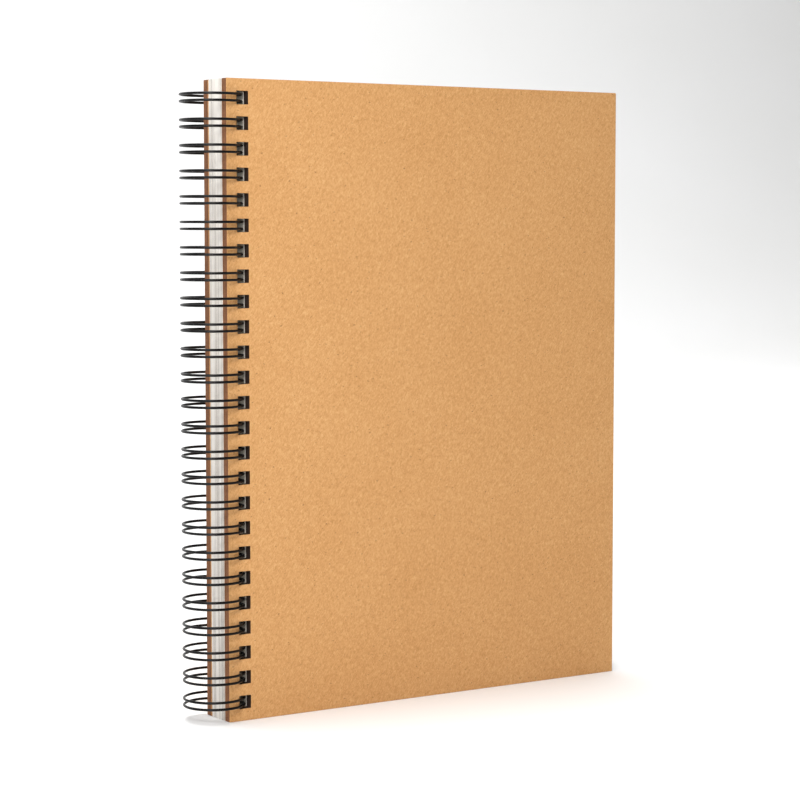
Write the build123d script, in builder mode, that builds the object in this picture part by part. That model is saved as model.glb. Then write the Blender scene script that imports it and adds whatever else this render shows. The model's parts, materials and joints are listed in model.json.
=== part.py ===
"""Wire-bound notebook: two stiff covers and a page block, punched square and threaded on one wire."""
import os
from math import asin, atan2, cos, degrees, floor, hypot, pi, sin, sqrt

from build123d import *

# The notebook stands on its bottom edge. X runs from the spine to the fore-edge,
# the front cover faces -Y, Z is up, and the loops turn round the line x = axis_x, y = 0.

# leaves
leaf_height = 216.0
leaf_width = 165.0
cover_thickness = 3.2
page_block_thickness = 8.6
leaf_gap = 0.3  # air between a cover and the page block

# punched row
hole_pitch = 25.4 / 3
least_end_margin = 5.0  # leaf end to the middle of the last hole, at least
spine_margin = 4.0  # spine edge to the near side of a hole
hole_side_gap = 0.6  # wire to the hole's upper and lower sides
hole_run_gap = 0.32  # wire to the hole's near and far sides

# wire
wire_diameter = 0.9
pair_spacing = 2.3  # middle to middle of the two legs of one prong
loop_slack = 2.4  # stack's outer face to the loops' centre line
front_bend_radius = 2.5  # where the round loop runs into the straight leg in the pages
root_bend_radius = 1.0  # where a leg leaves the wire that joins the prongs
root_cover_gap = 0.1  # joining wire to the back cover's inner face
root_groove_gap = 0.15  # joining wire to the walls and floor of its groove
tip_gap = 0.15  # prong's tip to the joining wire, measured along Y
end_stub = 1.2  # cut end past the first and last prong

# where the faces lie
wire_radius = wire_diameter / 2
page_face = page_block_thickness / 2
cover_inner = page_face + leaf_gap
cover_outer = cover_inner + cover_thickness

# loop's centre line, and the holes that let it pass at every cover angle
loop_radius = cover_outer + loop_slack
hole_near = sqrt((loop_radius - wire_radius) ** 2 - cover_outer**2) - hole_run_gap
hole_far = sqrt((loop_radius + wire_radius) ** 2 - cover_inner**2) + hole_run_gap
hole_width = hole_far - hole_near
hole_height = pair_spacing + wire_diameter + 2 * hole_side_gap

# overall box, centred on X = 0
spine_from_axis = hole_near - spine_margin
loop_reach = loop_radius + wire_radius + spine_from_axis
spine_x = loop_reach - (leaf_width + loop_reach) / 2
axis_x = spine_x - spine_from_axis
leaf_x = spine_x + leaf_width / 2
hole_x = axis_x + (hole_near + hole_far) / 2

# hole row, centred on the leaf's height
hole_count = 1 + floor((leaf_height - 2 * least_end_margin) / hole_pitch)
first_hole_z = (leaf_height - (hole_count - 1) * hole_pitch) / 2
hole_heights = [first_hole_z + i * hole_pitch for i in range(hole_count)]

# joining wire, lying in the groove behind the last page
root_y = cover_inner - root_cover_gap - wire_radius
root_turn = atan2(root_bend_radius, loop_radius)
root_angle = root_turn + asin(root_y / hypot(loop_radius, root_bend_radius))
root_x = axis_x + loop_radius * cos(root_angle) + root_bend_radius * sin(root_angle)
leg_start = (axis_x + loop_radius * cos(root_angle), loop_radius * sin(root_angle))

# straight leg in the page holes, and the bend that leads into it
leg_x = axis_x + hole_far - hole_run_gap - wire_radius
bend_x = leg_x - front_bend_radius
bend_y = -sqrt((loop_radius - front_bend_radius) ** 2 - (bend_x - axis_x) ** 2)
bend_angle = atan2(bend_y, bend_x - axis_x)
tip_y = root_y - wire_diameter - tip_gap - pair_spacing / 2


def on_circle(middle_x, middle_y, radius, angle, z):
    return (middle_x + radius * cos(angle), middle_y + radius * sin(angle), z)


def root_bend(z_leg, z_root):
    """Quarter turn between the joining wire and a leg, in the plane that holds both."""
    along = (1 - sqrt(0.5)) * root_bend_radius
    middle = (
        leg_start[0] + (root_bend_radius - along) * sin(root_angle),
        leg_start[1] - (root_bend_radius - along) * cos(root_angle),
        z_leg + (along if z_root > z_leg else -along),
    )
    return ThreePointArc((*leg_start, z_leg), middle, (root_x, root_y, z_root))


def leg(z_leg):
    """Round loop, front bend and straight leg, all at one height."""
    loop_end = bend_angle + 2 * pi
    half_way = (root_angle + loop_end) / 2
    ThreePointArc(
        on_circle(axis_x, 0, loop_radius, root_angle, z_leg),
        on_circle(axis_x, 0, loop_radius, half_way, z_leg),
        on_circle(axis_x, 0, loop_radius, loop_end, z_leg),
    )
    ThreePointArc(
        on_circle(bend_x, bend_y, front_bend_radius, bend_angle, z_leg),
        on_circle(bend_x, bend_y, front_bend_radius, bend_angle / 2, z_leg),
        on_circle(bend_x, bend_y, front_bend_radius, 0, z_leg),
    )
    Line((leg_x, bend_y, z_leg), (leg_x, tip_y, z_leg))


def prong(z_middle):
    """Two legs joined by a round tip, with the root bends that lead away from them."""
    low = z_middle - pair_spacing / 2
    high = z_middle + pair_spacing / 2
    root_bend(low, low - root_bend_radius)
    leg(low)
    ThreePointArc(
        (leg_x, tip_y, low),
        (leg_x, tip_y + pair_spacing / 2, z_middle),
        (leg_x, tip_y, high),
    )
    leg(high)
    root_bend(high, high + root_bend_radius)


def punch_row():
    with Locations(*[(hole_x, z) for z in hole_heights]):
        Rectangle(hole_width, hole_height, mode=Mode.SUBTRACT)


def leaf_sketch():
    with Locations((leaf_x, leaf_height / 2)):
        Rectangle(leaf_width, leaf_height)
    punch_row()


os.makedirs("parts", exist_ok=True)

# front cover
with BuildPart() as front_cover:
    with BuildSketch(Plane.XZ.offset(cover_inner)):
        leaf_sketch()
    extrude(amount=cover_thickness)
front_cover.part.label = "front_cover"
export_step(front_cover.part, "parts/front_cover.step")

# back cover
with BuildPart() as back_cover:
    with BuildSketch(Plane.XZ.offset(-cover_outer)):
        leaf_sketch()
    extrude(amount=cover_thickness)
back_cover.part.label = "back_cover"
export_step(back_cover.part, "parts/back_cover.step")

# page block, with the groove that the joining wire has pressed into the last pages
root_reach = pair_spacing / 2 + root_bend_radius + end_stub + root_groove_gap
groove_low = hole_heights[0] - root_reach
groove_high = hole_heights[-1] + root_reach
groove_width = wire_diameter + 2 * root_groove_gap
groove_floor = root_y - wire_radius - root_groove_gap
with BuildPart() as page_block:
    with BuildSketch(Plane.XZ.offset(-page_face)):
        leaf_sketch()
    extrude(amount=page_block_thickness)
    with BuildSketch(Plane.XZ.offset(-page_face)):
        with Locations((root_x, (groove_low + groove_high) / 2)):
            Rectangle(groove_width, groove_high - groove_low)
    extrude(amount=page_face - groove_floor, mode=Mode.SUBTRACT)
page_block.part.label = "page_block"
export_step(page_block.part, "parts/page_block.step")

# one continuous wire, prong after prong from the bottom up
root_step = pair_spacing / 2 + root_bend_radius
with BuildPart() as wire_binding:
    with BuildLine() as wire_path:
        low_end = hole_heights[0] - root_step
        Line((root_x, root_y, low_end - end_stub), (root_x, root_y, low_end))
        for i, z in enumerate(hole_heights):
            prong(z)
            root_start = z + root_step
            if i + 1 < hole_count:
                root_end = hole_heights[i + 1] - root_step
            else:
                root_end = root_start + end_stub
            Line((root_x, root_y, root_start), (root_x, root_y, root_end))
    with BuildSketch(Plane.XY.offset(low_end - end_stub)):
        with Locations((root_x, root_y)):
            Circle(wire_radius)
    sweep(path=wire_path.line)
wire_binding.part.label = "wire_binding"
export_step(wire_binding.part, "parts/wire_binding.step")

print("holes", hole_count, "hole", round(hole_width, 3), round(hole_height, 3))
print("spine x", round(spine_x, 4), "hinge x", round(axis_x, 4), "loop", round(loop_radius, 3))
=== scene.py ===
import json
import math
import random

import bmesh
import bpy
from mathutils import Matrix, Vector, noise


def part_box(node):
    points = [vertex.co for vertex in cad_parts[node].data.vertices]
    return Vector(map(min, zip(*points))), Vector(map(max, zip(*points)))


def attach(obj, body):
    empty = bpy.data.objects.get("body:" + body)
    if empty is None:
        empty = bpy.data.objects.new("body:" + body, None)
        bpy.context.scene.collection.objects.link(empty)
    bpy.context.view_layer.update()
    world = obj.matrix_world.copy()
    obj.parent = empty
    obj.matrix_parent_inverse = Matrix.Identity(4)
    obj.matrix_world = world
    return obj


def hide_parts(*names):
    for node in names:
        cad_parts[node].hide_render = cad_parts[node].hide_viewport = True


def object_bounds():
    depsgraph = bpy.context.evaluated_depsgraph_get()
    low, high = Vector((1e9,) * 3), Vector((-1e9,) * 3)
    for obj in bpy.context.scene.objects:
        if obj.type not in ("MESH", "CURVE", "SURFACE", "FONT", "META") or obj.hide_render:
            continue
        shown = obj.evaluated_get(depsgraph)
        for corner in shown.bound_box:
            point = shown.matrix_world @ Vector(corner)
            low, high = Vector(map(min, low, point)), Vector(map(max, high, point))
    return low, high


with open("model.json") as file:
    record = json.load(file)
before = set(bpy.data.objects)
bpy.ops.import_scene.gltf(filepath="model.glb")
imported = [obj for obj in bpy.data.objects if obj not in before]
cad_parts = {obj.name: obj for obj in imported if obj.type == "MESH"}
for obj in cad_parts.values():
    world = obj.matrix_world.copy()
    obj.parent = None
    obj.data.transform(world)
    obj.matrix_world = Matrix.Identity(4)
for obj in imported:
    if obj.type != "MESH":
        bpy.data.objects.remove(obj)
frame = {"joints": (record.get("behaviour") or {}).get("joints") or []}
cadLow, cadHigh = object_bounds()
mm = 0.001
random.seed(7)

pageLow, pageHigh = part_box("page_block")
frontLow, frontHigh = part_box("front_cover")
backLow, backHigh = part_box("back_cover")
hinge = Vector(frame["joints"][0]["pos_m"])

binding = {  # the punched row and the wire that runs through it
    "holeCount": 25,
    "holePitch": 25.4 / 3 * mm,
    "holeFromSpine": 4.0 * mm,
    "holeWidth": 4.395 * mm,
    "holeHeight": 4.4 * mm,
    "wireRadius": 0.45 * mm,
    "pairSpacing": 2.3 * mm,
    "loopRadius": 10.2 * mm,
}
rowLength = (binding["holeCount"] - 1) * binding["holePitch"]
firstHole = (pageLow.z + pageHigh.z - rowLength) / 2
holeHeights = [firstHole + i * binding["holePitch"] for i in range(binding["holeCount"])]
holeNear = pageLow.x + binding["holeFromSpine"]
holeFar = holeNear + binding["holeWidth"]
celluloseIor = 1.45  # paper and board fibres
print("frame loaded, holes", len(holeHeights))


def linear(hexColour):
    # a screen colour as the linear one that a shader takes
    channels = [int(hexColour[i : i + 2], 16) / 255 for i in (0, 2, 4)]
    return [c / 12.92 if c <= 0.04045 else ((c + 0.055) / 1.055) ** 2.4 for c in channels] + [1.0]


def addNode(tree, kind, settings=None, inputs=None):
    # a link is given as (node, output name or number), anything else is a plain value
    node = tree.nodes.new(kind)
    for key, value in (settings or {}).items():
        setattr(node, key, value)
    for key, value in (inputs or {}).items():
        if isinstance(value, tuple) and isinstance(value[0], bpy.types.Node):
            tree.links.new(value[0].outputs[value[1]], node.inputs[key])
        else:
            node.inputs[key].default_value = value
    return node


def newMaterial(name):
    material = bpy.data.materials.new(name)
    material.use_nodes = True
    material.node_tree.nodes.clear()
    return material, material.node_tree


def finishMaterial(tree, shader):
    addNode(tree, "ShaderNodeOutputMaterial", inputs={"Surface": (shader, 0)})


def ramp(tree, source, stops):
    node = addNode(tree, "ShaderNodeValToRGB", inputs={0: source})
    elements = node.color_ramp.elements
    for extra in range(len(stops) - 2):
        elements.new(0.5)
    for element, (position, colour) in zip(elements, stops):
        element.position = position
        element.color = colour
    return node


def grey(value):
    return (value, value, value, 1.0)


def addMesh(name, bm, materials, body, node):
    mesh = bpy.data.meshes.new(name)
    bm.to_mesh(mesh)
    bm.free()
    for material in materials:
        mesh.materials.append(material)
    piece = bpy.data.objects.new(name, mesh)
    bpy.context.scene.collection.objects.link(piece)
    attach(piece, body)
    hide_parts(node)
    print(name, "triangles", sum(len(p.vertices) - 2 for p in mesh.polygons))
    return piece


def plate(bm, xLines, zLines, yLayers, isOpen):
    # a plate made of cells between the lines, punched through wherever isOpen says so
    corners = {}

    def at(i, j, k):
        if (i, j, k) not in corners:
            corners[i, j, k] = bm.verts.new((xLines[i], yLayers[k], zLines[j]))
        return corners[i, j, k]

    last = len(yLayers) - 1
    solid = set()
    for i in range(len(xLines) - 1):
        for j in range(len(zLines) - 1):
            if not isOpen((xLines[i] + xLines[i + 1]) / 2, (zLines[j] + zLines[j + 1]) / 2):
                solid.add((i, j))
    for i, j in sorted(solid):
        bm.faces.new([at(i, j, 0), at(i + 1, j, 0), at(i + 1, j + 1, 0), at(i, j + 1, 0)])
        bm.faces.new([at(i, j, last), at(i, j + 1, last), at(i + 1, j + 1, last), at(i + 1, j, last)])
        sides = [
            ((i - 1, j), (i, j + 1), (i, j)),
            ((i + 1, j), (i + 1, j), (i + 1, j + 1)),
            ((i, j - 1), (i, j), (i + 1, j)),
            ((i, j + 1), (i + 1, j + 1), (i, j + 1)),
        ]
        for neighbour, a, b in sides:
            if neighbour in solid:
                continue
            for k in range(last):
                bm.faces.new([at(*a, k), at(*a, k + 1), at(*b, k + 1), at(*b, k)])


def inHoleRow(x, z, near=holeNear, far=holeFar):
    half = binding["holeHeight"] / 2
    return near < x < far and any(abs(z - middle) < half for middle in holeHeights)


def splitLine(marks, longest):
    # the marks, with as many even steps between them as keep each step under the longest
    lines = [marks[0]]
    for start, end in zip(marks, marks[1:]):
        steps = max(1, math.ceil((end - start) / longest))
        lines += [start + (end - start) * s / steps for s in range(1, steps + 1)]
    return lines


def holeMarks(low, high):
    half = binding["holeHeight"] / 2
    return [low] + [z + side for z in holeHeights for side in (-half, half)] + [high]


board = {  # the two kraft boards
    "face": "cb975f",
    "faceLight": "d8a972",
    "faceDark": "b9854c",
    "fleck": "744a28",
    "edge": "93613f",
    "edgeDark": "6a442c",
    # hole walls: dark brown to near black, painted shade for the depths of the punched holes
    "punched": "3a2417",
    "punchedDark": "1c110b",
    "cloudSize": 30 * mm,
    "grainSize": 0.75 * mm,  # finer in life, drawn as coarse as it needs to be to show
    "fibreSize": (1.8 * mm, 2 * mm, 0.4 * mm),  # drawn coarse too
    "fibreLays": ((0.35, 0.0), (-0.75, 0.031), (1.3, 0.067), (2.2, 0.012)),  # turn, shift
    "cloudShare": 0.2,
    "fibreShare": 0.22,
    "faceStops": (0.38, 0.5, 0.62),  # dark, middle and light tone
    "fleckSize": (1.1 * mm, 1.1 * mm, 0.8 * mm),
    "fleckTurn": 0.5,
    "fleckStops": (0.68, 0.76),  # the higher, the fewer flecks
    "fleckDepth": 0.6,
    "faceRelief": 0.03 * mm,
    "faceRoughness": (0.72, 0.88),
    "plySize": (14 * mm, 0.34 * mm, 14 * mm),
    "fuzzSize": 0.45 * mm,
    "fuzzShare": 0.4,
    "edgeStops": (0.36, 0.62),
    "edgeRelief": 0.05 * mm,
    "edgeRoughness": 0.92,
    "softEdge": 0.28 * mm,  # rounding that cutting leaves along every edge
    "softSteps": 3,
    "sharpTurn": math.radians(60),  # edges that turn by more are rounded
    "layers": 9,  # plies that show on the cut edge
    "plyInset": 0.5 * mm,  # from a face to the first ply
    "plyDepth": 0.07 * mm,
    "plyWander": 7 * mm,  # length over which a ply's edge goes in and out
    "dip": 0.05 * mm,  # how far a face is out of flat
    "dipSize": 38 * mm,
    "cell": 5 * mm,
    "outlineMargin": 0.6 * mm,  # walls nearer to the outline are outer edges
}


def kraftLiner():
    # kraft paper liner, uncoated and calendered: dull, clouded, with long fibres and bark flecks
    material, tree = newMaterial("kraftLinerCalendered")
    place = addNode(tree, "ShaderNodeTexCoord")
    clouds = addNode(
        tree,
        "ShaderNodeTexNoise",
        inputs={"Vector": (place, "Object"), "Scale": 1 / board["cloudSize"], "Detail": 2.0},
    )
    grain = addNode(
        tree,
        "ShaderNodeTexNoise",
        inputs={
            "Vector": (place, "Object"),
            "Scale": 1 / board["grainSize"],
            "Detail": 3.0,
            "Roughness": 0.7,
        },
    )
    tone = addNode(
        tree,
        "ShaderNodeMix",
        {"data_type": "FLOAT"},
        {"Factor": board["cloudShare"], 2: (grain, 0), 3: (clouds, 0)},
    )
    for turn, shift in board["fibreLays"]:
        lay = addNode(
            tree,
            "ShaderNodeMapping",
            {"vector_type": "TEXTURE"},
            {
                "Vector": (place, "Object"),
                "Location": (shift, 0.0, shift),
                "Rotation": (0.0, turn, 0.0),
                "Scale": board["fibreSize"],
            },
        )
        fibre = addNode(
            tree,
            "ShaderNodeTexNoise",
            inputs={"Vector": (lay, 0), "Scale": 1.0, "Detail": 1.0, "Distortion": 0.6},
        )
        tone = addNode(
            tree,
            "ShaderNodeMix",
            {"data_type": "FLOAT"},
            {"Factor": board["fibreShare"], 2: (tone, 0), 3: (fibre, 0)},
        )
    tones = [linear(board[key]) for key in ("faceDark", "face", "faceLight")]
    colour = ramp(tree, (tone, 0), list(zip(board["faceStops"], tones)))
    # bark flecks: few, short and dark
    fleckLay = addNode(
        tree,
        "ShaderNodeMapping",
        inputs={
            "Vector": (place, "Object"),
            "Rotation": (0.0, board["fleckTurn"], 0.0),
            "Scale": tuple(1 / size for size in board["fleckSize"]),
        },
    )
    fleckNoise = addNode(
        tree,
        "ShaderNodeTexNoise",
        inputs={"Vector": (fleckLay, 0), "Scale": 1.0, "Detail": 1.0},
    )
    fleckShades = (grey(0.0), grey(board["fleckDepth"]))
    fleckMask = ramp(tree, (fleckNoise, 0), list(zip(board["fleckStops"], fleckShades)))
    colour = addNode(
        tree,
        "ShaderNodeMix",
        {"data_type": "RGBA"},
        {"Factor": (fleckMask, 0), 6: (colour, 0), 7: linear(board["fleck"])},
    )
    relief = addNode(
        tree,
        "ShaderNodeBump",
        inputs={"Strength": 0.35, "Distance": board["faceRelief"], "Height": (tone, 0)},
    )
    roughness = addNode(
        tree,
        "ShaderNodeMapRange",
        inputs={
            "Value": (grain, 0),
            "From Min": 0.3,
            "From Max": 0.7,
            "To Min": board["faceRoughness"][0],
            "To Max": board["faceRoughness"][1],
        },
    )
    shader = addNode(
        tree,
        "ShaderNodeBsdfPrincipled",
        inputs={
            "Base Color": (colour, 2),
            "Roughness": (roughness, 0),
            "IOR": celluloseIor,
            "Normal": (relief, 0),
        },
    )
    finishMaterial(tree, shader)
    return material


def cutBoard(name, light, dark):
    # solid board cut with a blade: the plies show as fine dark and light lines, fuzzy and dull
    material, tree = newMaterial(name)
    place = addNode(tree, "ShaderNodeTexCoord")
    plies = addNode(
        tree,
        "ShaderNodeMapping",
        inputs={
            "Vector": (place, "Object"),
            "Scale": tuple(1 / size for size in board["plySize"]),
        },
    )
    plyNoise = addNode(
        tree,
        "ShaderNodeTexNoise",
        inputs={"Vector": (plies, 0), "Scale": 1.0, "Detail": 3.0},
    )
    fuzz = addNode(
        tree,
        "ShaderNodeTexNoise",
        inputs={"Vector": (place, "Object"), "Scale": 1 / board["fuzzSize"], "Detail": 4.0},
    )
    tone = addNode(
        tree,
        "ShaderNodeMix",
        {"data_type": "FLOAT"},
        {"Factor": board["fuzzShare"], 2: (plyNoise, 0), 3: (fuzz, 0)},
    )
    colour = ramp(tree, (tone, 0), list(zip(board["edgeStops"], (linear(dark), linear(light)))))
    relief = addNode(
        tree,
        "ShaderNodeBump",
        inputs={"Strength": 0.5, "Distance": board["edgeRelief"], "Height": (tone, 0)},
    )
    shader = addNode(
        tree,
        "ShaderNodeBsdfPrincipled",
        inputs={
            "Base Color": (colour, 0),
            "Roughness": board["edgeRoughness"],
            "IOR": celluloseIor,
            "Normal": (relief, 0),
        },
    )
    finishMaterial(tree, shader)
    return material


def roundBoardEdges(bm):
    bm.normal_update()
    sharp = [e for e in bm.edges if len(e.link_faces) == 2 and e.calc_face_angle() > board["sharpTurn"]]
    bmesh.ops.bevel(
        bm,
        geom=sharp,
        offset=board["softEdge"],
        segments=board["softSteps"],
        profile=0.5,
        affect="EDGES",
        clamp_overlap=True,
    )
    bm.normal_update()


def roughenBoard(bm, low, high):
    # plies stand back from the cut edge, each by its own amount, and the faces dip a little
    plyBack = [random.random() for _ in range(board["layers"] + 2)]
    thickness = high.y - low.y
    pastEdge = board["softEdge"] * 1.1
    flat = 0.98  # a vertex whose normal is this near to Y lies in a face
    for vertex in bm.verts:
        depth = vertex.co.y - low.y
        if pastEdge < depth < thickness - pastEdge:
            ply = plyBack[round(depth / thickness * board["layers"])]
            wander = 0.5 + 0.5 * noise.noise(vertex.co / board["plyWander"] + Vector((0, ply * 9, 0)))
            vertex.co -= vertex.normal * board["plyDepth"] * (0.6 * ply + 0.4 * wander)
        elif abs(vertex.normal.y) > flat:
            spot = vertex.co / board["dipSize"] + Vector((3.1, low.y / mm, 0))
            dip = 0.5 + 0.5 * noise.noise(spot)
            vertex.co.y += math.copysign(board["dip"] * dip, thickness / 2 - depth)


def paintBoard(bm, low, high):
    # 0 is the liner, 1 the outer cut edge, 2 the punched walls, which carry painted shade
    margin = board["outlineMargin"]
    for face in bm.faces:
        middle = face.calc_center_median()
        face.smooth = True
        if abs(face.normal.y) > 0.6:
            face.material_index = 0
            continue
        outer = (
            middle.x < low.x + margin
            or middle.x > high.x - margin
            or middle.z < low.z + margin
            or middle.z > high.z - margin
        )
        face.material_index = 1 if outer else 2


def makeBoard(name, node, body, low, high, materials):
    bm = bmesh.new()
    xLines = splitLine([low.x, holeNear, holeFar, high.x], board["cell"])
    zLines = splitLine(holeMarks(low.z, high.z), board["cell"])
    inside = board["plyInset"]
    plySteps = board["layers"] - 1
    yLayers = [low.y]
    for k in range(plySteps + 1):
        yLayers.append(low.y + inside + (high.y - low.y - 2 * inside) * k / plySteps)
    yLayers.append(high.y)
    plate(bm, xLines, zLines, yLayers, inHoleRow)
    roundBoardEdges(bm)
    roughenBoard(bm, low, high)
    paintBoard(bm, low, high)
    piece = addMesh(name, bm, materials, body, node)
    level = piece.modifiers.new("evenShade", "WEIGHTED_NORMAL")
    level.keep_sharp = True


boardMaterials = [
    kraftLiner(),
    cutBoard("solidBoardCut", board["edge"], board["edgeDark"]),
    # the punched walls: the cut board pattern in near black browns, painted shade inside the holes
    cutBoard("solidBoardPunchedPaintedShade", board["punched"], board["punchedDark"]),
]
makeBoard("front_board", "front_cover", "front", frontLow, frontHigh, boardMaterials)
makeBoard("back_board", "back_cover", "back", backLow, backHigh, boardMaterials)

sheets = {  # the page block, sheet by sheet
    "face": "f1ede4",
    "faceDark": "ece7dc",
    # trimmed edges: the grey lines are painted shade where sheets stand back; the stagger itself is
    # modelled
    "edge": "e9e4df",
    "edgeDark": "bdb6b1",
    # hole walls: whiter than the trimmed edges, painted light falling into the holes
    "punched": "f6f0e2",
    "punchedDark": "e9e1cf",
    "toneStops": (0.3, 0.7),
    "cloudSize": 3 * mm,
    "grainSize": 0.4 * mm,
    "faceRelief": 0.01 * mm,
    "faceRoughness": 0.9,
    "bandSize": (120 * mm, 1.5 * mm, 120 * mm),
    "bandShift": 0.37,  # which bands fall where
    "bandStops": (0.42, 0.56),
    "fraySize": 0.5 * mm,
    "cutRoughness": 0.95,
    "count": 86,
    "air": 0.012 * mm,  # between neighbouring sheets
    "stagger": 0.16 * mm,  # how far a sheet's edge may stand back
    "bundle": 7,  # sheets that were jogged together
    "bundleShare": 0.6,  # how much of the stagger a bundle has in common
    "ownShare": 0.4,
    "footShare": 0.3,  # the foot stands on the ground, so it is more even
    "grooveGap": 0.15 * mm,  # joining wire to the groove around it
    "outlineMargin": 1 * mm,  # cuts nearer to the outline are trimmed edges
}


def writingPaper():
    # uncoated wood-free writing paper: matt, warm white, faintly clouded against the light
    material, tree = newMaterial("writingPaperUncoated")
    place = addNode(tree, "ShaderNodeTexCoord")
    clouds = addNode(
        tree,
        "ShaderNodeTexNoise",
        inputs={"Vector": (place, "Object"), "Scale": 1 / sheets["cloudSize"], "Detail": 4.0},
    )
    tones = (linear(sheets["faceDark"]), linear(sheets["face"]))
    colour = ramp(tree, (clouds, 0), list(zip(sheets["toneStops"], tones)))
    grain = addNode(
        tree,
        "ShaderNodeTexNoise",
        inputs={"Vector": (place, "Object"), "Scale": 1 / sheets["grainSize"], "Detail": 3.0},
    )
    relief = addNode(
        tree,
        "ShaderNodeBump",
        inputs={"Strength": 0.25, "Distance": sheets["faceRelief"], "Height": (grain, 0)},
    )
    shader = addNode(
        tree,
        "ShaderNodeBsdfPrincipled",
        inputs={
            "Base Color": (colour, 0),
            "Roughness": sheets["faceRoughness"],
            "IOR": celluloseIor,
            "Normal": (relief, 0),
        },
    )
    finishMaterial(tree, shader)
    return material


def trimmedPaper():
    # paper edges cut by a guillotine: grey and white lines, one bundle of sheets to a line; the grey
    # lines are painted shade, standing in for the shade between bundles that stand back
    material, tree = newMaterial("writingPaperTrimmed")
    place = addNode(tree, "ShaderNodeTexCoord")
    bundles = addNode(
        tree,
        "ShaderNodeMapping",
        inputs={
            "Vector": (place, "Object"),
            "Location": (0.0, sheets["bandShift"], 0.0),
            "Scale": tuple(1 / size for size in sheets["bandSize"]),
        },
    )
    bundlePaintedShade = addNode(
        tree,
        "ShaderNodeTexNoise",
        inputs={"Vector": (bundles, 0), "Scale": 1.0, "Detail": 3.0, "Roughness": 0.5},
    )
    tones = (linear(sheets["edgeDark"]), linear(sheets["edge"]))
    colour = ramp(tree, (bundlePaintedShade, 0), list(zip(sheets["bandStops"], tones)))
    shader = addNode(
        tree,
        "ShaderNodeBsdfPrincipled",
        inputs={"Base Color": (colour, 0), "Roughness": sheets["cutRoughness"], "IOR": celluloseIor},
    )
    finishMaterial(tree, shader)
    return material


def punchedPaper():
    # paper inside the punched holes: whiter than the trimmed edges, painted light standing in for light
    # that falls into the holes
    material, tree = newMaterial("writingPaperPunchedPaintedLight")
    place = addNode(tree, "ShaderNodeTexCoord")
    fray = addNode(
        tree,
        "ShaderNodeTexNoise",
        inputs={"Vector": (place, "Object"), "Scale": 1 / sheets["fraySize"], "Detail": 3.0},
    )
    tones = (linear(sheets["punchedDark"]), linear(sheets["punched"]))
    colour = ramp(tree, (fray, 0), list(zip(sheets["toneStops"], tones)))
    shader = addNode(
        tree,
        "ShaderNodeBsdfPrincipled",
        inputs={"Base Color": (colour, 0), "Roughness": sheets["cutRoughness"], "IOR": celluloseIor},
    )
    finishMaterial(tree, shader)
    return material


def makeSheets():
    bm = bmesh.new()
    pitch = (pageHigh.y - pageLow.y) / sheets["count"]
    root = wirePath["root"]
    gap = sheets["grooveGap"]
    grooveNear = root.x - binding["wireRadius"] - gap
    grooveFar = root.x + binding["wireRadius"] + gap
    grooveReach = binding["pairSpacing"] / 2 + wirePath["rootBend"] + wirePath["endStub"] + gap
    grooveLow = holeHeights[0] - grooveReach
    grooveHigh = holeHeights[-1] + grooveReach
    grooveFloor = root.y - binding["wireRadius"] - gap
    bundleShift = 0.5
    for i in range(sheets["count"]):
        if i % sheets["bundle"] == 0:
            bundleShift = random.random()
        inCommon = sheets["bundleShare"] * bundleShift
        back = [sheets["stagger"] * (inCommon + sheets["ownShare"] * random.random()) for _ in range(4)]
        low = pageLow.y + i * pitch + sheets["air"] / 2
        high = pageLow.y + (i + 1) * pitch - sheets["air"] / 2
        xMarks = [pageLow.x + back[0], holeNear, holeFar, pageHigh.x - back[1]]
        zMarks = holeMarks(pageLow.z + back[2] * sheets["footShare"], pageHigh.z - back[3])
        hasGroove = high > grooveFloor

        def isOpen(x, z):
            inGroove = hasGroove and grooveNear < x < grooveFar and grooveLow < z < grooveHigh
            return inGroove or inHoleRow(x, z)

        if hasGroove:
            xMarks = sorted(xMarks + [grooveNear, grooveFar])
            zMarks = sorted(zMarks + [grooveLow, grooveHigh])
        plate(bm, xMarks, zMarks, [low, high], isOpen)
    bm.normal_update()
    margin = sheets["outlineMargin"]
    for face in bm.faces:
        middle = face.calc_center_median()
        outer = (
            middle.x < pageLow.x + margin
            or middle.x > pageHigh.x - margin
            or middle.z < pageLow.z + margin
            or middle.z > pageHigh.z - margin
        )
        if abs(face.normal.y) < 0.5:
            face.material_index = 1 if outer else 2
    # face paper, trimmed edges with painted shade lines, punched walls with painted light
    papers = [writingPaper(), trimmedPaper(), punchedPaper()]
    addMesh("page_sheets", bm, papers, "pages", "page_block")


wirePath = {  # the twin-loop wire, one bent length
    "frontBend": 2.5 * mm,  # where the loop runs into the straight leg
    "rootBend": 1.0 * mm,  # where a leg leaves the joining wire
    "rootGap": 0.1 * mm,  # joining wire to the back board
    "runGap": 0.32 * mm,  # leg to the far side of its hole
    "tipGap": 0.15 * mm,
    "endStub": 1.2 * mm,
    "sides": 14,
    "loopSteps": 52,
    "bendSteps": 5,
    "tipSteps": 9,
    "coat": "070708",
    "coatWorn": "1f1d1c",
    "steel": "8d8f92",
    "dipSize": 0.9 * mm,
    "dipRelief": 0.02 * mm,
    "rubSize": 2.6 * mm,
    "rubStops": (0.6, 0.78),
    "rubDepth": 0.5,
    "coatRoughness": (0.24, 0.46),
    "coatIor": 1.5,
    "coatSpecular": 0.22,
    "dragSize": 0.15 * mm,
    "steelRoughness": (0.3, 0.6),
}
radius = binding["loopRadius"]
rootY = backLow.y - wirePath["rootGap"] - binding["wireRadius"]
rootReach = math.hypot(radius, wirePath["rootBend"])
rootAngle = math.atan2(wirePath["rootBend"], radius) + math.asin(rootY / rootReach)
rootX = hinge.x + radius * math.cos(rootAngle) + wirePath["rootBend"] * math.sin(rootAngle)
wirePath["root"] = Vector((rootX, rootY, 0))
legX = holeFar - wirePath["runGap"] - binding["wireRadius"]
bendX = legX - wirePath["frontBend"]
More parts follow.
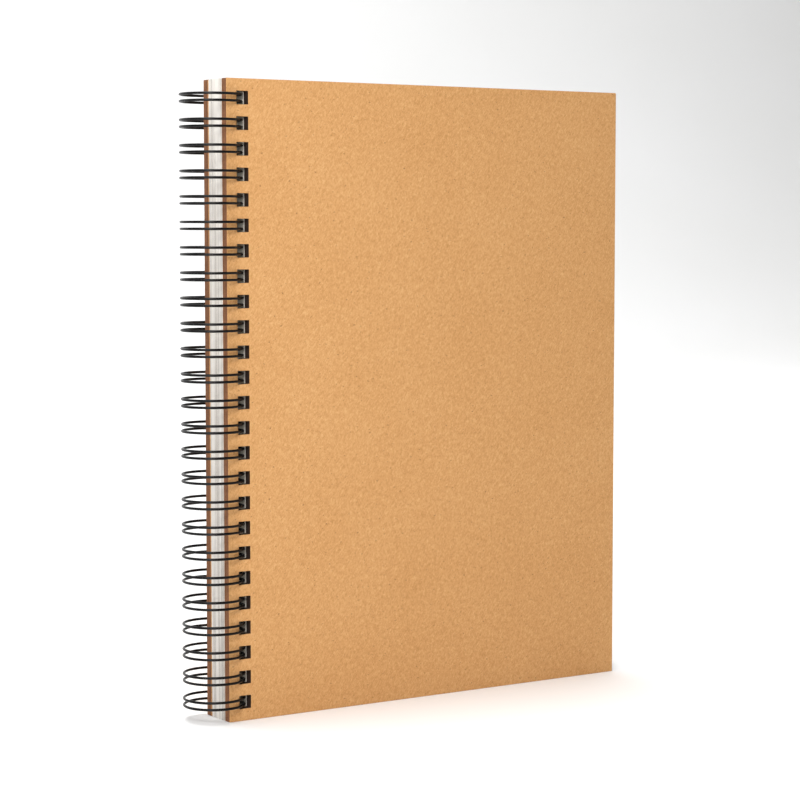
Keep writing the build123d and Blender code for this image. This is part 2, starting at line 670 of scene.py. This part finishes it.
bendY = -math.sqrt((radius - wirePath["frontBend"]) ** 2 - (bendX - hinge.x) ** 2)
bendAngle = math.atan2(bendY, bendX - hinge.x)
tipY = rootY - 2 * binding["wireRadius"] - wirePath["tipGap"] - binding["pairSpacing"] / 2


def arcPoints(middle, size, start, end, steps):
    # points round an upright axis, without the first one
    turn = (end - start) / steps
    return [
        middle + Vector((math.cos(start + turn * s), math.sin(start + turn * s), 0)) * size
        for s in range(1, steps + 1)
    ]


def rootPoints(z, side):
    # quarter turn from the joining wire, side below or above, up to the leg at height z
    outward = Vector((-math.sin(rootAngle), math.cos(rootAngle), 0))
    start = Vector((hinge.x + radius * math.cos(rootAngle), radius * math.sin(rootAngle), z))
    bend = wirePath["rootBend"]
    steps = wirePath["bendSteps"]
    points = []
    for s in range(steps + 1):
        angle = math.pi / 2 * (1 - s / steps)
        up = side * bend * (1 - math.cos(angle))
        points.append(start - outward * bend * math.sin(angle) + Vector((0, 0, up)))
    return points


def legPoints(z):
    fullTurn = bendAngle + 2 * math.pi
    loop = arcPoints(Vector((hinge.x, 0, z)), radius, rootAngle, fullTurn, wirePath["loopSteps"])
    bendMiddle = Vector((bendX, bendY, z))
    bend = arcPoints(bendMiddle, wirePath["frontBend"], bendAngle, 0, wirePath["bendSteps"])
    straight = [Vector((legX, (bendY + tipY) / 2, z)), Vector((legX, tipY, z))]
    return loop + bend + straight


def prongPoints(z):
    half = binding["pairSpacing"] / 2
    up = rootPoints(z - half, -1) + legPoints(z - half)
    tip = []
    steps = wirePath["tipSteps"]
    for s in range(1, steps):
        angle = math.pi * s / steps
        tip.append(Vector((legX, tipY + half * math.sin(angle), z - half * math.cos(angle))))
    down = rootPoints(z + half, 1) + legPoints(z + half)
    return up + tip + down[::-1]


def coatedWire():
    # nylon-coated steel wire, drawn then dipped: satin black, uneven, rubbed grey in places
    material, tree = newMaterial("nylonCoatedWire")
    place = addNode(tree, "ShaderNodeTexCoord")
    dip = addNode(
        tree,
        "ShaderNodeTexNoise",
        inputs={"Vector": (place, "Object"), "Scale": 1 / wirePath["dipSize"], "Detail": 3.0},
    )
    rub = addNode(
        tree,
        "ShaderNodeTexNoise",
        inputs={
            "Vector": (place, "Object"),
            "Scale": 1 / wirePath["rubSize"],
            "Detail": 5.0,
            "Roughness": 0.7,
        },
    )
    rubShades = (grey(0.0), grey(wirePath["rubDepth"]))
    rubMask = ramp(tree, (rub, 0), list(zip(wirePath["rubStops"], rubShades)))
    colour = addNode(
        tree,
        "ShaderNodeMix",
        {"data_type": "RGBA"},
        {"Factor": (rubMask, 0), 6: linear(wirePath["coat"]), 7: linear(wirePath["coatWorn"])},
    )
    roughness = addNode(
        tree,
        "ShaderNodeMapRange",
        inputs={
            "Value": (rub, 0),
            "From Min": 0.3,
            "From Max": 0.75,
            "To Min": wirePath["coatRoughness"][0],
            "To Max": wirePath["coatRoughness"][1],
        },
    )
    relief = addNode(
        tree,
        "ShaderNodeBump",
        inputs={"Strength": 0.2, "Distance": wirePath["dipRelief"], "Height": (dip, 0)},
    )
    shader = addNode(
        tree,
        "ShaderNodeBsdfPrincipled",
        inputs={
            "Base Color": (colour, 2),
            "Roughness": (roughness, 0),
            "IOR": wirePath["coatIor"],
            "Specular IOR Level": wirePath["coatSpecular"],
            "Normal": (relief, 0),
        },
    )
    finishMaterial(tree, shader)
    return material


def shearedSteel():
    # bare steel where the wire was sheared: small bright ends with fine drag lines
    material, tree = newMaterial("steelSheared")
    place = addNode(tree, "ShaderNodeTexCoord")
    drag = addNode(
        tree,
        "ShaderNodeTexNoise",
        inputs={"Vector": (place, "Object"), "Scale": 1 / wirePath["dragSize"], "Detail": 2.0},
    )
    roughness = addNode(
        tree,
        "ShaderNodeMapRange",
        inputs={
            "Value": (drag, 0),
            "To Min": wirePath["steelRoughness"][0],
            "To Max": wirePath["steelRoughness"][1],
        },
    )
    shader = addNode(
        tree,
        "ShaderNodeBsdfPrincipled",
        inputs={
            "Base Color": linear(wirePath["steel"]),
            "Metallic": 1.0,
            "Roughness": (roughness, 0),
        },
    )
    finishMaterial(tree, shader)
    return material


def makeWire():
    half = binding["pairSpacing"] / 2
    reach = half + wirePath["rootBend"] + wirePath["endStub"]
    root = wirePath["root"]
    points = [Vector((root.x, root.y, holeHeights[0] - reach))]
    for z in holeHeights:
        points += prongPoints(z)
    points.append(Vector((root.x, root.y, holeHeights[-1] + reach)))
    bm = bmesh.new()
    rings = []
    sides = wirePath["sides"]
    across = Vector((1, 0, 0))
    for i, point in enumerate(points):
        ahead = points[min(i + 1, len(points) - 1)] - points[max(i - 1, 0)]
        ahead.normalize()
        across = (across - ahead * across.dot(ahead)).normalized()
        beside = ahead.cross(across)
        ring = []
        for s in range(sides):
            angle = 2 * math.pi * s / sides
            out = across * math.cos(angle) + beside * math.sin(angle)
            ring.append(bm.verts.new(point + out * binding["wireRadius"]))
        rings.append(ring)
    for first, second in zip(rings, rings[1:]):
        for s in range(sides):
            after = (s + 1) % sides
            face = bm.faces.new([first[s], first[after], second[after], second[s]])
            face.smooth = True
    for ring in (rings[0][::-1], rings[-1]):
        bm.faces.new(ring).material_index = 1
    addMesh("twin_loop_wire", bm, [coatedWire(), shearedSteel()], "pages", "wire_binding")


makeSheets()
makeWire()

studio = {  # floor, wall and light, in metres
    "paper": "ffffff",
    "paperDark": "fbfbfa",
    "toneStops": (0.3, 0.7),
    "cloudSize": 400 * mm,
    "paperRoughness": 0.95,
    "sweepRadius": 0.9,
    "sweepBack": 1.3,
    "sweepHalfWidth": 3.5,
    "sweepFront": -3.0,
    "sweepTop": 3.2,
    "bendSteps": 24,
    "wallAim": 0.9,  # height on the wall that its own light points at
    "skyStrength": 0.16,
    "softboxes": {  # power in watts, size in metres, place
        "key": (2.3, 0.22, (-0.34, -0.38, 0.38)),
        "low": (1.2, 0.2, (-0.62, -0.86, 0.17)),
        "wallWash": (80.0, 2.0, (0.0, 0.5, 2.5)),
    },
}


def backdropPaper():
    # seamless paper roll, matt: near white with the faintest clouding
    material, tree = newMaterial("seamlessPaperRoll")
    place = addNode(tree, "ShaderNodeTexCoord")
    clouds = addNode(
        tree,
        "ShaderNodeTexNoise",
        inputs={"Vector": (place, "Object"), "Scale": 1 / studio["cloudSize"], "Detail": 2.0},
    )
    tones = (linear(studio["paperDark"]), linear(studio["paper"]))
    colour = ramp(tree, (clouds, 0), list(zip(studio["toneStops"], tones)))
    shader = addNode(
        tree,
        "ShaderNodeBsdfPrincipled",
        inputs={"Base Color": (colour, 0), "Roughness": studio["paperRoughness"], "IOR": celluloseIor},
    )
    finishMaterial(tree, shader)
    return material


def makeSweep():
    # one sheet: flat floor, round bend, upright wall
    bm = bmesh.new()
    bend = studio["sweepRadius"]
    profile = [(studio["sweepFront"], 0.0), (studio["sweepBack"], 0.0)]
    steps = studio["bendSteps"]
    for s in range(1, steps + 1):
        angle = math.pi / 2 * s / steps
        profile.append((studio["sweepBack"] + bend * math.sin(angle), bend - bend * math.cos(angle)))
    profile.append((studio["sweepBack"] + bend, studio["sweepTop"]))
    wide = studio["sweepHalfWidth"]
    rows = [(bm.verts.new((-wide, y, z)), bm.verts.new((wide, y, z))) for y, z in profile]
    for (a, b), (c, d) in zip(rows, rows[1:]):
        bm.faces.new([a, b, d, c]).smooth = True
    mesh = bpy.data.meshes.new("sweep")
    bm.to_mesh(mesh)
    bm.free()
    mesh.materials.append(backdropPaper())
    floor = bpy.data.objects.new("sweep", mesh)
    bpy.context.scene.collection.objects.link(floor)


def addSoftbox(name, power, size, place, target):
    light = bpy.data.lights.new(name, "AREA")
    light.energy = power
    light.shape = "SQUARE"
    light.size = size
    box = bpy.data.objects.new(name, light)
    box.location = place
    box.rotation_euler = (target - Vector(place)).to_track_quat("-Z", "Y").to_euler()
    box.visible_camera = False
    bpy.context.scene.collection.objects.link(box)


def makeLight():
    middle = (cadLow + cadHigh) / 2
    wall = Vector((0, studio["sweepBack"] + studio["sweepRadius"], studio["wallAim"]))
    for name, (power, size, place) in studio["softboxes"].items():
        addSoftbox(name, power, size, place, wall if name == "wallWash" else middle)
    world = bpy.data.worlds.new("softRoom")
    world.use_nodes = True
    world.node_tree.nodes["Background"].inputs["Color"].default_value = (1, 1, 1, 1)
    world.node_tree.nodes["Background"].inputs["Strength"].default_value = studio["skyStrength"]
    bpy.context.scene.world = world
    bpy.context.scene.view_settings.view_transform = "Standard"


view = {
    "azimuth": math.radians(33.66),  # camera stands to the spine's side of the front cover
    "elevation": math.radians(4.3),
    "distance": 0.8264,
    "aim": Vector((-1.6, 0.9, -2.5)) * mm,  # from the middle of the notebook's box
    "lens": 104.85,
    "sensor": 36.0,
}


def makeCamera():
    camera = bpy.data.cameras.new("camera")
    camera.lens = view["lens"]
    camera.sensor_width = view["sensor"]
    ahead = Vector(
        (
            math.sin(view["azimuth"]) * math.cos(view["elevation"]),
            math.cos(view["azimuth"]) * math.cos(view["elevation"]),
            -math.sin(view["elevation"]),
        )
    )
    holder = bpy.data.objects.new("camera", camera)
    holder.location = (cadLow + cadHigh) / 2 + view["aim"] - ahead * view["distance"]
    holder.rotation_euler = (math.pi / 2 - view["elevation"], 0, -view["azimuth"])
    bpy.context.scene.collection.objects.link(holder)
    bpy.context.scene.camera = holder


makeSweep()
makeLight()
makeCamera()
print("stage ready")
